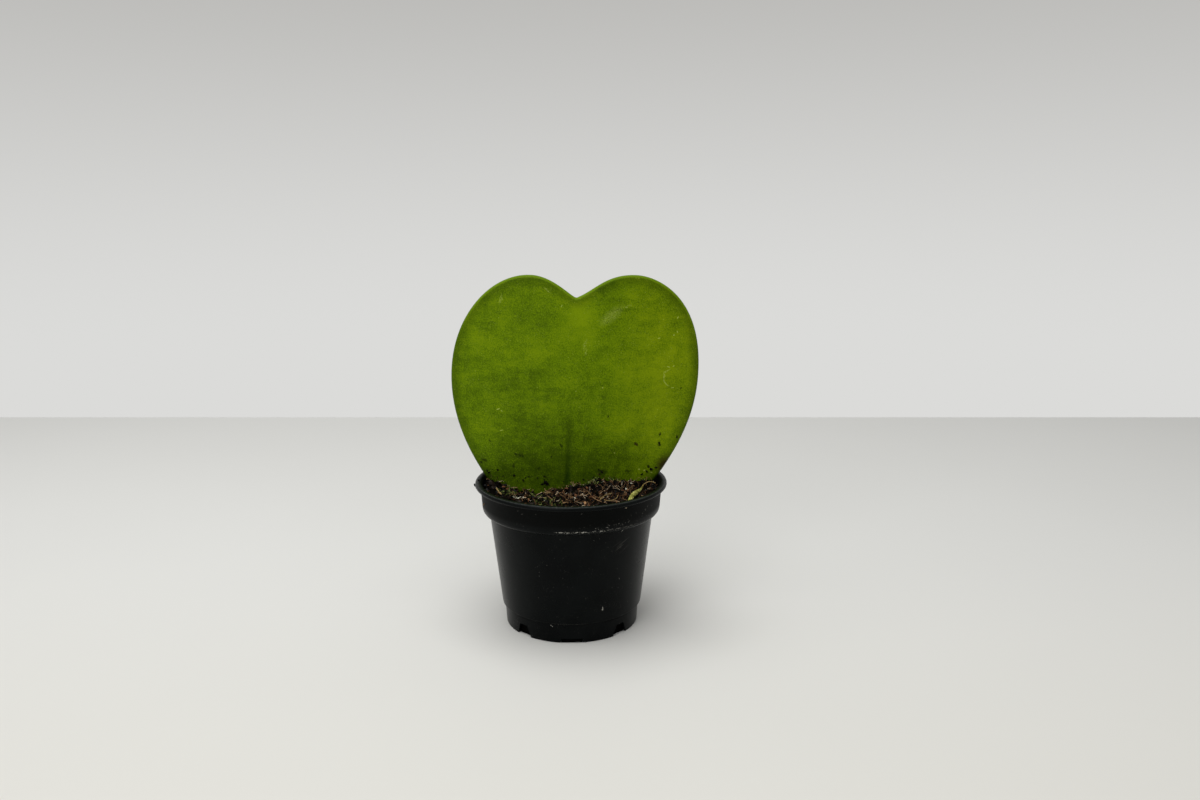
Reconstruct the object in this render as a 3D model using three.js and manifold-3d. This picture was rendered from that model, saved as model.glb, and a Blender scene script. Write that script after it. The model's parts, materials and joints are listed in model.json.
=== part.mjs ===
// A sweetheart hoya: one rooted heart-shaped leaf, standing narrow end down in potting mix in a small round
// black nursery pot. Millimetres, +Z up, front towards -Y. The origin lies on the table, under the middle
// of the whole plant. Everything is built about the pot's axis and then set over to the side together.

import * as THREE from "three";
import { mergeVertices } from "three/addons/utils/BufferGeometryUtils.js";
import Module from "manifold-3d";

const wasm = await Module();
wasm.setup();

const CLEARANCE = 0.3; // between pieces that touch
const POT_AXIS_X = -1.2; // the leaf leans to the right, so the pot stands left of the whole's middle

const POT = {
  height: 48.5,
  lipRadius: 31.75, // a 2.5 inch pot, measured over its lip
  lipHeight: 1.4,
  collarTopRadius: 30.0,
  collarBottomRadius: 29.4,
  collarBottom: 38.4,
  shoulderRadius: 27.2, // the body, where it comes out under the collar
  stepRadius: 23.3, // the body, where it ends above the foot
  stepHeight: 6.8,
  footTopRadius: 22.5,
  footRadius: 22.1,
  wall: 0.6, // the floor is as thick
  footWall: 0.8,
  // The floor lies on the table round its edge, and is raised in the middle
  raised: 2.4,
  raisedRadius: 15.6,
  raisedSlope: 0.8,
  sectors: 56,
  cornerSteps: 3,
};

// Drain slots through the foot's wall and the edge of the floor; the mix fills each out to its own radius
const NOTCHES = {
  turn: 1.5, // degrees, from the front towards the right
  low: { first: 0, bottomWidth: 7.4, topWidth: 6.6, height: 1.4, inner: 19.6, filledTo: 21.8 },
  tall: { first: 45, bottomWidth: 6.2, topWidth: 3.2, height: 3.8, inner: 18.4, filledTo: 21.0 },
  count: 4, // of each kind
  outer: 24,
  fillUnder: 0.2, // how high the mix in a slot hangs above the table
};

const SOIL = {
  level: 46.0,
  droopFrom: 26.5, // past this radius the surface falls away to the wall
  droop: 1.1,
  // Heaps (rise above zero) and hollows (below zero), each with its reach
  mounds: [
    { x: -28, y: 3, rise: 1.8, reach: 5 },
    { x: -13, y: 0, rise: -2.6, reach: 9 },
    { x: 11, y: 0, rise: 2.1, reach: 6 },
    { x: 24, y: 2, rise: 1.6, reach: 6 },
    { x: 4, y: 17, rise: 0.9, reach: 10 },
  ],
  roughness: 0.3,
  // How far below and above each bend of the pot's inside the mix turns
  atStep: [0, 1.5],
  atShoulder: [0.3, 1.9],
  topRings: 11,
};

// Widths and heights are parts of the length, slopes are radians
const CHIPS = {
  count: 90,
  seed: 7,
  length: [1.6, 3.8],
  width: [0.5, 0.9],
  height: [0.4, 0.7],
  slope: 0.4,
  sink: 0.15,
};
const FIBRES = { count: 12, seed: 23, radius: 0.36, length: [4, 9], slope: 0.15, sides: 5 };

// The leaf's own axes: across, and up from where it stands in the mix
const LEAF = {
  x: -1.2,
  y: 2.5,
  z: 46,
  tilt: THREE.MathUtils.degToRad(3.2), // its top goes to the right
  lean: THREE.MathUtils.degToRad(1.5), // its top goes back
  bowRadius: 150, // its two sides curve back
  thickness: 2.3,
  middleThickness: 2.8,
  edgeRadius: 1.2,
  edgeSteps: [0, 0.3, 1], // where the rounded edge has its rings, as parts of its radius
  faceRings: [0.8, 0.55, 0.28], // the rings of the two faces, as parts of the outline
  outlineSteps: [6, 9, 13], // from the notch to the top, to the widest place, to the base
  middle: new THREE.Vector2(0, 33),
  notch: new THREE.Vector2(-0.1, 62.6),
  base: -27, // height of the blade's narrow end
  right: {
    notchPull: [5.8, 2.7],
    top: [18.8, 70.9],
    topPull: [9.8, 6.9],
    widest: [41.7, 38.4],
    widestPull: [26.5, 15.3],
    basePull: [35.3, 3.0],
  },
  left: {
    notchPull: [1.2, -0.8],
    top: [15.3, 69.1],
    topPull: [7.6, 13.3],
    widest: [41.0, 35.4],
    widestPull: [18.8, 29.0],
    basePull: [15.3, -12.3],
  },
};

const STALK = { radius: 2.1, baseHalfWidth: 2.2, top: -23, end: -34, sides: 12, endSteps: 3 };
const ROOTS = {
  count: 5,
  radius: 0.45,
  reach: 11,
  shorter: 0.12, // by which part the second and third of each three reach less
  drop: 5.5,
  above: 1.5, // where they leave the stalk, above its end
  wander: 0.5, // radians to either side
  sides: 6,
  steps: 6,
};
const SPRIG = {
  // The line that it lies along, from its broad end to its tip
  line: [[18.9, -17.4], [20.5, -11], [22.3, -6.2], [23.9, -1.2]],
  halfWidths: [0.8, 1.15, 0.75, 0.35],
  halfThickness: 0.42,
  lift: 0.5,
  sides: 8,
  steps: 10,
};

const MATERIALS = {
  pot: { color: 0x17181a, roughness: 0.42 },
  soil: { color: 0x2b1f18, roughness: 0.95 },
  leaf: { color: 0x5a7f12, roughness: 0.5 },
  sprig: { color: 0xa8a850, roughness: 0.75 },
};

// A small seeded source of random numbers from 0 to 1
function randomSource(seed) {
  let state = seed;
  return () => {
    state = (state + 0x6d2b79f5) | 0;
    let mixed = Math.imul(state ^ (state >>> 15), 1 | state);
    mixed = (mixed + Math.imul(mixed ^ (mixed >>> 7), 61 | mixed)) ^ mixed;
    return ((mixed ^ (mixed >>> 14)) >>> 0) / 2 ** 32;
  };
}

// A closed geometry as a solid that can be joined and cut
function toSolid(geometry) {
  const bare = new THREE.BufferGeometry();
  bare.setAttribute("position", geometry.getAttribute("position").clone());
  if (geometry.index) bare.setIndex(geometry.index);
  const merged = mergeVertices(bare, 1e-4);
  return new wasm.Manifold(new wasm.Mesh({
    numProp: 3,
    vertProperties: new Float32Array(merged.getAttribute("position").array),
    triVerts: new Uint32Array(merged.index.array),
  }));
}

function toGeometry(solid) {
  const mesh = solid.getMesh();
  const geometry = new THREE.BufferGeometry();
  geometry.setAttribute("position", new THREE.BufferAttribute(mesh.vertProperties, 3));
  geometry.setIndex(new THREE.BufferAttribute(mesh.triVerts, 1));
  geometry.computeVertexNormals();
  return geometry;
}

// A closed skin over a stack of rings of points, with a fan to one point at each end
function skin(first, rings, last) {
  const count = rings[0].length;
  const points = [first, ...rings.flat(), last];
  const faces = [];
  for (let i = 0; i < count; i++) {
    const next = (i + 1) % count;
    faces.push(0, 1 + next, 1 + i);
    for (let ring = 0; ring + 1 < rings.length; ring++) {
      const low = 1 + ring * count;
      const high = low + count;
      faces.push(low + i, low + next, high + next, low + i, high + next, high + i);
    }
    const top = 1 + (rings.length - 1) * count;
    faces.push(top + i, top + next, points.length - 1);
  }
  const geometry = new THREE.BufferGeometry().setFromPoints(points);
  geometry.setIndex(faces);
  return geometry;
}

// Radius of the pot's inside, at a height
function insideRadius(z) {
  const foot = [POT.footRadius - POT.footWall, POT.footTopRadius - POT.footWall];
  const body = [POT.stepRadius - POT.wall, POT.shoulderRadius - POT.wall];
  const collar = [POT.collarBottomRadius - POT.wall, POT.collarTopRadius - POT.wall];
  const step = POT.stepHeight + POT.wall;
  const shoulder = POT.collarBottom + 2 * POT.wall;
  if (z <= step) return THREE.MathUtils.mapLinear(z, 0, step, ...foot);
  if (z <= shoulder) return THREE.MathUtils.mapLinear(z, step, shoulder, ...body);
  return Math.min(THREE.MathUtils.mapLinear(z, shoulder, POT.height, ...collar), collar[1]);
}

// A line through corners, each given by its radius, its height and how far its rounding reaches
function roundedLine(corners) {
  const points = corners.map(([radius, height]) => new THREE.Vector2(radius, height));
  const path = new THREE.Path();
  path.moveTo(points[0].x, points[0].y);
  for (let i = 1; i < corners.length; i++) {
    const round = corners[i][2] ?? 0;
    const towards = (other) => points[i].clone().add(other.clone().sub(points[i]).setLength(round));
    const start = round ? towards(points[i - 1]) : points[i];
    path.lineTo(start.x, start.y);
    if (!round) continue;
    const end = towards(points[i + 1]);
    path.quadraticCurveTo(points[i].x, points[i].y, end.x, end.y);
  }
  return path.getPoints(POT.cornerSteps);
}

// The pot's section, from the middle of the floor's underside round to the middle of its top
function potProfile() {
  const { wall, height, lipRadius, collarBottom, stepHeight, raised, raisedRadius, raisedSlope } = POT;
  const footInside = POT.footRadius - POT.footWall;
  const lipUnder = height - POT.lipHeight;
  const innerStep = stepHeight + wall;
  const innerShoulder = collarBottom + wall;
  return roundedLine([
    [0, raised],
    [raisedRadius, raised],
    [raisedRadius + raisedSlope, 0],
    [POT.footRadius, 0],
    [POT.footTopRadius, stepHeight],
    [POT.stepRadius, stepHeight, 0.7],
    [POT.shoulderRadius, collarBottom, 0.4],
    [POT.collarBottomRadius, collarBottom, 1.9],
    [POT.collarTopRadius, lipUnder, 0.5],
    [lipRadius, lipUnder, 0.5],
    [lipRadius, height, 0.7],
    [POT.collarTopRadius - wall, height, 1.65],
    [POT.collarBottomRadius - wall, innerShoulder, 1.4],
    [POT.shoulderRadius - wall, innerShoulder],
    [POT.stepRadius - wall, innerStep],
    [POT.footTopRadius - POT.footWall, innerStep],
    [footInside, wall],
    [raisedRadius + raisedSlope + wall, wall],
    [raisedRadius + wall, raised + wall],
    [0, raised + wall],
  ]);
}

// A block with sloping sides, from one radius out to another, set where one notch is
function notchBlock(kind, index, low, inner, outer, margin) {
  const bottom = kind.bottomWidth / 2 - margin;
  const top = kind.topWidth / 2 - margin;
  const height = kind.height - margin;
  const shape = new THREE.Shape();
  shape.moveTo(-bottom, low);
  shape.lineTo(bottom, low);
  if (low < 0) shape.lineTo(bottom, 0);
  shape.lineTo(top, height);
  shape.lineTo(-top, height);
  if (low < 0) shape.lineTo(-bottom, 0);
  const block = new THREE.ExtrudeGeometry(shape, { depth: outer - inner, bevelEnabled: false });
  block.rotateX(Math.PI / 2);
  block.translate(0, -inner, 0);
  block.rotateZ(THREE.MathUtils.degToRad(NOTCHES.turn + kind.first + index * (360 / NOTCHES.count)));
  return toSolid(block);
}

// What is cut out of the foot for one notch, from below the table up
const notchCutter = (kind, index) => notchBlock(kind, index, -1, kind.inner, NOTCHES.outer, 0);

// The mix that fills one notch
function notchFill(kind, index) {
  return notchBlock(kind, index, NOTCHES.fillUnder, kind.inner + CLEARANCE, kind.filledTo, CLEARANCE);
}

// Something made for each notch of both kinds
function eachNotch(make) {
  return [NOTCHES.low, NOTCHES.tall].flatMap((kind) => (
    Array.from({ length: NOTCHES.count }, (_, index) => make(kind, index))
  ));
}

function makePot() {
  const turned = new THREE.LatheGeometry(potProfile(), POT.sectors);
  turned.rotateX(Math.PI / 2);
  let pot = toSolid(turned);
  for (const cutter of eachNotch(notchCutter)) pot = pot.subtract(cutter);
  return pot;
}

// Height of the mix at a place
function soilHeight(x, y) {
  const radius = Math.hypot(x, y);
  const past = Math.max(0, radius - SOIL.droopFrom) / (insideRadius(SOIL.level) - SOIL.droopFrom);
  let z = SOIL.level - SOIL.droop * past * past;
  for (const mound of SOIL.mounds) {
    const far = Math.hypot(x - mound.x, y - mound.y) / mound.reach;
    z += mound.rise * Math.exp(-far * far);
  }
  // Two crossed sets of waves, about 8 and 6 mm long
  const coarse = Math.sin(0.83 * x + 1.3) * Math.cos(0.71 * y - 0.4);
  const fine = Math.sin(0.9 * x - 0.5 * y) * Math.sin(0.6 * x + 1.1 * y + 0.8);
  return z + SOIL.roughness * (coarse + fine);
}

function circle(radius, height, sectors) {
  return Array.from({ length: sectors }, (_, i) => {
    const angle = (i / sectors) * 2 * Math.PI;
    const x = radius * Math.cos(angle);
    const y = radius * Math.sin(angle);
    return new THREE.Vector3(x, y, height(x, y));
  });
}

// The mix as poured: it follows the pot's inside, and its top is heaped
function soilBody() {
  const edge = POT.wall + CLEARANCE;
  const middle = POT.raised + edge;
  const step = POT.stepHeight + POT.wall;
  const shoulder = POT.collarBottom + 2 * POT.wall;
  const bend = (z, [below, above]) => [z - below, z + above];
  const wallHeights = [edge, ...bend(step, SOIL.atStep), ...bend(shoulder, SOIL.atShoulder)];
  const flat = (radius, z) => circle(radius, () => z, POT.sectors);
  const rings = [
    flat(POT.raisedRadius + edge, middle),
    flat(POT.raisedRadius + POT.raisedSlope + edge, edge),
    ...wallHeights.map((z) => flat(insideRadius(z) - CLEARANCE, z)),
  ];
  const rim = insideRadius(SOIL.level) - CLEARANCE;
  for (let i = 0; i < SOIL.topRings; i++) {
    rings.push(circle(rim * (1 - i / SOIL.topRings), soilHeight, POT.sectors));
  }
  const top = new THREE.Vector3(0, 0, soilHeight(0, 0));
  return toSolid(skin(new THREE.Vector3(0, 0, middle), rings, top));
}

// How far behind the leaf's middle sheet a point of the mix lies
function behindLeaf(x, y) {
  const across = x - LEAF.x;
  return y - LEAF.y - (across * across) / (2 * LEAF.bowRadius);
}

// How far a point of the mix is from the sprig's line, seen from above
function besideSprig(x, y) {
  const line = new THREE.SplineCurve(SPRIG.line.map((point) => new THREE.Vector2(...point)));
  const place = new THREE.Vector2(x, y);
  return Math.min(...line.getPoints(SPRIG.steps).map((point) => point.distanceTo(place)));
}

// A free place on the mix, clear of the leaf, the sprig and the wall by a margin
function freePlace(random, margin) {
  for (;;) {
    const radius = (insideRadius(SOIL.level) - CLEARANCE - margin) * Math.sqrt(random());
    const angle = 2 * Math.PI * random();
    const x = radius * Math.cos(angle);
    const y = radius * Math.sin(angle);
    const besideLeaf = Math.abs(behindLeaf(x, y)) > LEAF.middleThickness / 2 + margin;
    if (besideLeaf && besideSprig(x, y) > SPRIG.halfWidths[1] + margin) return [x, y];
  }
}

// A slope between a limit and its opposite
const anySlope = (random, limit) => limit * (2 * random() - 1);

// Chips of bark and coir, each half sunk in the mix
function chips() {
  const random = randomSource(CHIPS.seed);
  return Array.from({ length: CHIPS.count }, () => {
    const length = THREE.MathUtils.lerp(...CHIPS.length, random() ** 2);
    const [x, y] = freePlace(random, length / 2 + CLEARANCE);
    const chip = new THREE.IcosahedronGeometry(0.5, 0);
    const width = THREE.MathUtils.lerp(...CHIPS.width, random());
    const height = THREE.MathUtils.lerp(...CHIPS.height, random());
    chip.scale(length, length * width, length * height);
    chip.rotateX(anySlope(random, CHIPS.slope));
    chip.rotateY(anySlope(random, CHIPS.slope));
    chip.rotateZ(2 * Math.PI * random());
    chip.translate(x, y, soilHeight(x, y) - CHIPS.sink * length * random());
    return toSolid(chip);
  });
}

// Straws and coir fibres, lying slanted with one end in the mix
function fibres() {
  const random = randomSource(FIBRES.seed);
  return Array.from({ length: FIBRES.count }, () => {
    const length = THREE.MathUtils.lerp(...FIBRES.length, random());
    const [x, y] = freePlace(random, length / 2 + CLEARANCE);
    const fibre = new THREE.CylinderGeometry(FIBRES.radius, FIBRES.radius, length, FIBRES.sides);
    fibre.rotateZ(Math.PI / 2 + anySlope(random, FIBRES.slope));
    fibre.rotateX(2 * Math.PI * random());
    fibre.rotateZ(2 * Math.PI * random());
    fibre.translate(x, y, soilHeight(x, y) - FIBRES.radius / 2);
    return toSolid(fibre);
  });
}

// One side's outline, from the notch over the lobe and down to the base, across to that side
function sideOutline(side, sign) {
  const at = (across, up) => new THREE.Vector2(sign * across, up);
  const notch = LEAF.notch;
  const [topX, topY] = side.top;
  const [wideX, wideY] = side.widest;
  const top = at(topX, topY);
  const widest = at(wideX, wideY);
  const base = at(STALK.baseHalfWidth, LEAF.base);
  const parts = [
    [notch, notch.clone().add(at(...side.notchPull)), at(topX - side.topPull[0], topY), top],
    [top, at(topX + side.topPull[1], topY), at(wideX, wideY + side.widestPull[0]), widest],
    [widest, at(wideX, wideY - side.widestPull[1]), at(...side.basePull), base],
  ];
  return parts.flatMap((part, i) => (
    new THREE.CubicBezierCurve(...part).getPoints(LEAF.outlineSteps[i]).slice(0, -1)
  ));
}

// The whole outline, clockwise from the notch as seen from the front
function leafOutline() {
  const right = sideOutline(LEAF.right, 1);
  const left = sideOutline(LEAF.left, -1).slice(1);
  const base = [1, -1].map((sign) => new THREE.Vector2(sign * STALK.baseHalfWidth, LEAF.base));
  return [...right, ...base, ...left.reverse()];
}

// The outline moved inwards by a distance (outwards below zero)
function inset(outline, distance) {
  return outline.map((point, i) => {
    const before = outline[(i + outline.length - 1) % outline.length];
    const after = outline[(i + 1) % outline.length];
    const along = after.clone().sub(before).normalize();
    return new THREE.Vector2(point.x + along.y * distance, point.y - along.x * distance);
  });
}

// A point of the leaf's own sheet, set in its place: across, up and behind its middle sheet
function onLeaf(across, up, behind) {
  const bow = (across * across) / (2 * LEAF.bowRadius);
  const point = new THREE.Vector3(across, bow + behind, up);
  point.applyAxisAngle(new THREE.Vector3(1, 0, 0), -LEAF.lean);
  point.applyAxisAngle(new THREE.Vector3(0, 1, 0), LEAF.tilt);
  return point.add(new THREE.Vector3(LEAF.x, LEAF.y, LEAF.z));
}

// The heart-shaped blade, with a rounded edge and a fuller middle, grown all round by a margin
function blade(grow) {
  const outline = leafOutline();
  const { edgeRadius, thickness, middleThickness, middle } = LEAF;
  const edge = LEAF.edgeSteps.map((part) => ({ points: inset(outline, part * edgeRadius - grow), part }));
  const round = ({ part }) => grow + (thickness / 2) * Math.sqrt(1 - (1 - part) ** 2);
  const front = edge.map((ring) => ring.points.map((p) => onLeaf(p.x, p.y, -round(ring))));
  const back = edge.slice(1).map((ring) => ring.points.map((p) => onLeaf(p.x, p.y, round(ring))));
  if (grow > 0) back.unshift(edge[0].points.map((p) => onLeaf(p.x, p.y, grow)));
  const inner = edge.at(-1).points;
  for (const scale of LEAF.faceRings) {
    const points = inner.map((p) => p.clone().sub(middle).multiplyScalar(scale).add(middle));
    const half = grow + THREE.MathUtils.lerp(middleThickness, thickness, scale ** 2) / 2;
    front.push(points.map((p) => onLeaf(p.x, p.y, -half)));
    back.push(points.map((p) => onLeaf(p.x, p.y, half)));
  }
  const half = grow + middleThickness / 2;
  const rings = [...front.reverse(), ...back];
  return toSolid(skin(onLeaf(middle.x, middle.y, -half), rings, onLeaf(middle.x, middle.y, half)));
}

// The short stalk under the blade, with a rounded end
function stalk(grow) {
  const radius = STALK.radius + grow;
  const end = STALK.end - grow;
  const top = STALK.top + grow;
  const profile = new THREE.Path();
  profile.moveTo(0, end);
  profile.quadraticCurveTo(radius, end, radius, end + radius);
  profile.lineTo(radius, top);
  profile.lineTo(0, top);
  const turned = new THREE.LatheGeometry(profile.getPoints(STALK.endSteps), STALK.sides);
  turned.rotateX(Math.PI / 2);
  const place = onLeaf(0, 0, 0);
  turned.rotateX(-LEAF.lean);
  turned.rotateY(LEAF.tilt);
  turned.translate(place.x, place.y, place.z);
  return toSolid(turned);
}

// A solid along a curve, with an oval section whose half width varies, grown all round by a margin
function sweep(curve, steps, sides, halfWidth, halfThickness, grow) {
  const up = new THREE.Vector3(0, 0, 1);
  const middleAt = (part) => (
    curve.getPoint(part).addScaledVector(curve.getTangent(part), grow * (2 * part - 1))
  );
  const rings = Array.from({ length: steps + 1 }, (_, step) => {
    const part = step / steps;
    const along = curve.getTangent(part);
    const side = up.clone().cross(along).normalize();
    const face = along.clone().cross(side).normalize();
    return Array.from({ length: sides }, (__, i) => {
      const angle = (i / sides) * 2 * Math.PI;
      return middleAt(part)
        .addScaledVector(side, (halfWidth(part) + grow) * Math.cos(angle))
        .addScaledVector(face, (halfThickness + grow) * Math.sin(angle));
    });
  });
  return toSolid(skin(middleAt(0), rings, middleAt(1)));
}

// One root: it leaves the stalk's end sideways and wanders down
function root(index, grow) {
  const turn = ((index + 0.35) / ROOTS.count) * 2 * Math.PI;
  const start = onLeaf(0, STALK.end + ROOTS.above, 0);
  const points = [0, 0.35, 0.7, 1].map((part) => {
    const angle = turn + ROOTS.wander * Math.sin(3 * part + index);
    const reach = ROOTS.reach * part * (1 - ROOTS.shorter * (index % 3));
    const drop = ROOTS.drop * part ** 1.5;
    return new THREE.Vector3(reach * Math.cos(angle), reach * Math.sin(angle), -drop).add(start);
  });
  const line = new THREE.CatmullRomCurve3(points);
  return sweep(line, ROOTS.steps, ROOTS.sides, () => ROOTS.radius, ROOTS.radius, grow);
}

function makeLeaf(grow = 0) {
  let leaf = blade(grow).add(stalk(grow));
  for (let i = 0; i < ROOTS.count; i++) leaf = leaf.add(root(i, grow));
  return leaf;
}

// A dry curled sliver that lies on the mix, broad at one end and pointed at the other
function makeSprig(grow = 0) {
  const line = new THREE.CatmullRomCurve3(SPRIG.line.map(
    ([x, y]) => new THREE.Vector3(x, y, soilHeight(x, y) + SPRIG.lift),
  ));
  const widths = new THREE.SplineCurve(SPRIG.halfWidths.map((width, i) => new THREE.Vector2(i, width)));
  const halfWidth = (part) => widths.getPoint(part).y;
  return sweep(line, SPRIG.steps, SPRIG.sides, halfWidth, SPRIG.halfThickness, grow);
}

// The mix with its chips and fibres, and plain room for what stands or lies in it
function makeSoil() {
  let soil = soilBody();
  for (const piece of [...chips(), ...fibres(), ...eachNotch(notchFill)]) soil = soil.add(piece);
  return soil.subtract(makeLeaf(CLEARANCE)).subtract(makeSprig(CLEARANCE));
}

function named(name, solid) {
  const material = new THREE.MeshStandardMaterial({ ...MATERIALS[name], metalness: 0 });
  const mesh = new THREE.Mesh(toGeometry(solid), material);
  mesh.name = name;
  return mesh;
}

const plant = new THREE.Group();
plant.position.x = POT_AXIS_X;
plant.add(named("pot", makePot()));
plant.add(named("soil", makeSoil()));
plant.add(named("leaf", makeLeaf()));
plant.add(named("sprig", makeSprig()));

export default plant;
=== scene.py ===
"""A sweetheart hoya for its picture: one thick heart-shaped leaf, standing in a small black nursery pot.

Metres, +Z up, the front towards -Y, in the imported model's frame. Sizes read in millimetres times MM.
"""
import json
import math
import random
from collections import namedtuple
from contextlib import contextmanager

import bmesh
import bpy
from mathutils import Matrix, Vector, geometry, kdtree, noise

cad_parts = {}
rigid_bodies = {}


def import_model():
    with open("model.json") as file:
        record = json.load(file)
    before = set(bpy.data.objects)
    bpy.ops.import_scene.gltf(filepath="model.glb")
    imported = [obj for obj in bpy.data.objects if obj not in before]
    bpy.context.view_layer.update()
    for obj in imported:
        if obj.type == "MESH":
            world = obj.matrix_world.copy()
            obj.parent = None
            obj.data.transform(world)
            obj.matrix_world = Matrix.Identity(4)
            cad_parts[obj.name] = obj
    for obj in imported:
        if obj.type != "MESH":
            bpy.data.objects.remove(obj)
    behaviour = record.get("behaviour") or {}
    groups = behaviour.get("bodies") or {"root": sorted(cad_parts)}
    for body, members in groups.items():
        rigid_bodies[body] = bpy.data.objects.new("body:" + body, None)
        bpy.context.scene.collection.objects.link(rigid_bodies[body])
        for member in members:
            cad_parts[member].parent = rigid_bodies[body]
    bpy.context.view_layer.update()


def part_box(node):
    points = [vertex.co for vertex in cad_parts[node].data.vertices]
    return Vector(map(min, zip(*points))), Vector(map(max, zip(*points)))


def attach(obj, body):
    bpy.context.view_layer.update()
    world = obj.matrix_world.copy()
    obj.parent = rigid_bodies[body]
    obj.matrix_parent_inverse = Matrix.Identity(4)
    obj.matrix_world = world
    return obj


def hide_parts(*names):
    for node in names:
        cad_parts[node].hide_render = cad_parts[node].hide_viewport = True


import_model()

MM = 0.001
FULL_TURN = 2 * math.pi

# The pot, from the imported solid: its axis, height and lip
POT_LOW, POT_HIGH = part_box("pot")
AXIS_X = (POT_LOW[0] + POT_HIGH[0]) / 2
POT_TOP = POT_HIGH[2] / MM
LIP_RADIUS = (POT_HIGH[0] - POT_LOW[0]) / 2 / MM

# The rest of its section, in millimetres from its axis and the table
COLLAR_RADIUS = (29.4, 30.0)
COLLAR_BOTTOM = 38.4
SHOULDER_RADIUS = 27.2
STEP_RADIUS = 23.3
STEP_HEIGHT = 6.8
FOOT_RADIUS = (22.1, 22.5)
FOOT_WALL = 0.8
WALL = 0.6
LIP_DEPTH = 1.4
RAISED_FLOOR = (15.6, 2.4, 0.8)

# Drain slots through the foot, in millimetres. The mix fills each as far out as its fill radius
Slot = namedtuple("Slot", "width top_width height inner fill angle")
SLOT_TURN = math.radians(1.5)
SLOT_COUNT = 4
LOW_SLOT = Slot(7.4, 6.6, 1.4, 19.6, 21.8, 0)
TALL_SLOT = Slot(6.2, 3.2, 3.8, 18.4, 21.0, math.radians(45))

# The mix, in millimetres from the pot's axis: level, then heaps and hollows (x, y, rise, reach)
SOIL_GAP = 0.3
SOIL_LEVEL = 46.0
SOIL_RADIUS = 28.95
SOIL_DROOP = (26.5, 1.1)
SOIL_SLICE = 1.2
MOUNDS = [(-28, 3, 1.8, 5), (-13, 0, -2.6, 9), (11, 0, 2.1, 6), (24, 2, 1.6, 6), (4, 17, 0.9, 10)]

# The leaf's own axes, in millimetres: across, and up from where it stands in the mix
LEAF_PLACE = Vector((AXIS_X / MM - 1.2, 2.5, 46))
LEAF_TILT = math.radians(3.2)
LEAF_LEAN = math.radians(1.5)
LEAF_BOW = 150
LEAF_THICK = (2.3, 2.8)
LEAF_EDGE = 1.2
LEAF_MIDDLE = Vector((0, 33))
LEAF_BASE = (2.2, -27)

# The dry sliver, from its broad end to its tip, in millimetres from the pot's axis
SPRIG_LINE = [(18.9, -17.4), (19.9, -13.6), (21, -9.6), (23, -5.8), (24.2, -2)]

# Where moss grows in front of the leaf: x, y and reach, in millimetres from the pot's axis
MOSS_PATCHES = [(-7.4, -18.6, 4), (6.9, 0.2, 2.6), (-12.6, -10, 2.6), (-20, -7, 2.6), (15, 2, 2)]


class Wire:
    """A shader socket that can be reckoned with: each sign adds its Math node to the finish."""

    def __init__(self, finish, socket):
        self.finish = finish
        self.socket = socket

    def maths(self, operation, *values):
        return self.finish.node("ShaderNodeMath", {"operation": operation}, values)

    def __add__(self, other):
        return self.maths("ADD", self, other)

    def __sub__(self, other):
        return self.maths("SUBTRACT", self, other)

    def __rsub__(self, other):
        return self.maths("SUBTRACT", other, self)

    def __mul__(self, other):
        return self.maths("MULTIPLY", self, other)

    def __truediv__(self, other):
        return self.maths("DIVIDE", self, other)

    def __pow__(self, other):
        return self.maths("POWER", self, other)

    def __abs__(self):
        return self.maths("ABSOLUTE", self)

    def __or__(self, other):
        """The greater of the two."""
        return self.maths("MAXIMUM", self, other)

    def ease(self, *limits):
        settings = {"interpolation_type": "SMOOTHSTEP"}
        return self.finish.node("ShaderNodeMapRange", settings, (self, *limits))

    def rise(self, low, high):
        """0 below low and 1 above high, smooth between them."""
        return self.ease(low, high, 0, 1)

    def fall(self, low, high):
        """1 below low and 0 above high, smooth between them."""
        return self.ease(low, high, 1, 0)

    def band(self, low, high, soft):
        """1 between low and high, smooth on either side."""
        return self.rise(low - soft, low + soft) * self.fall(high - soft, high + soft)

    __radd__ = __add__
    __rmul__ = __mul__


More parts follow.
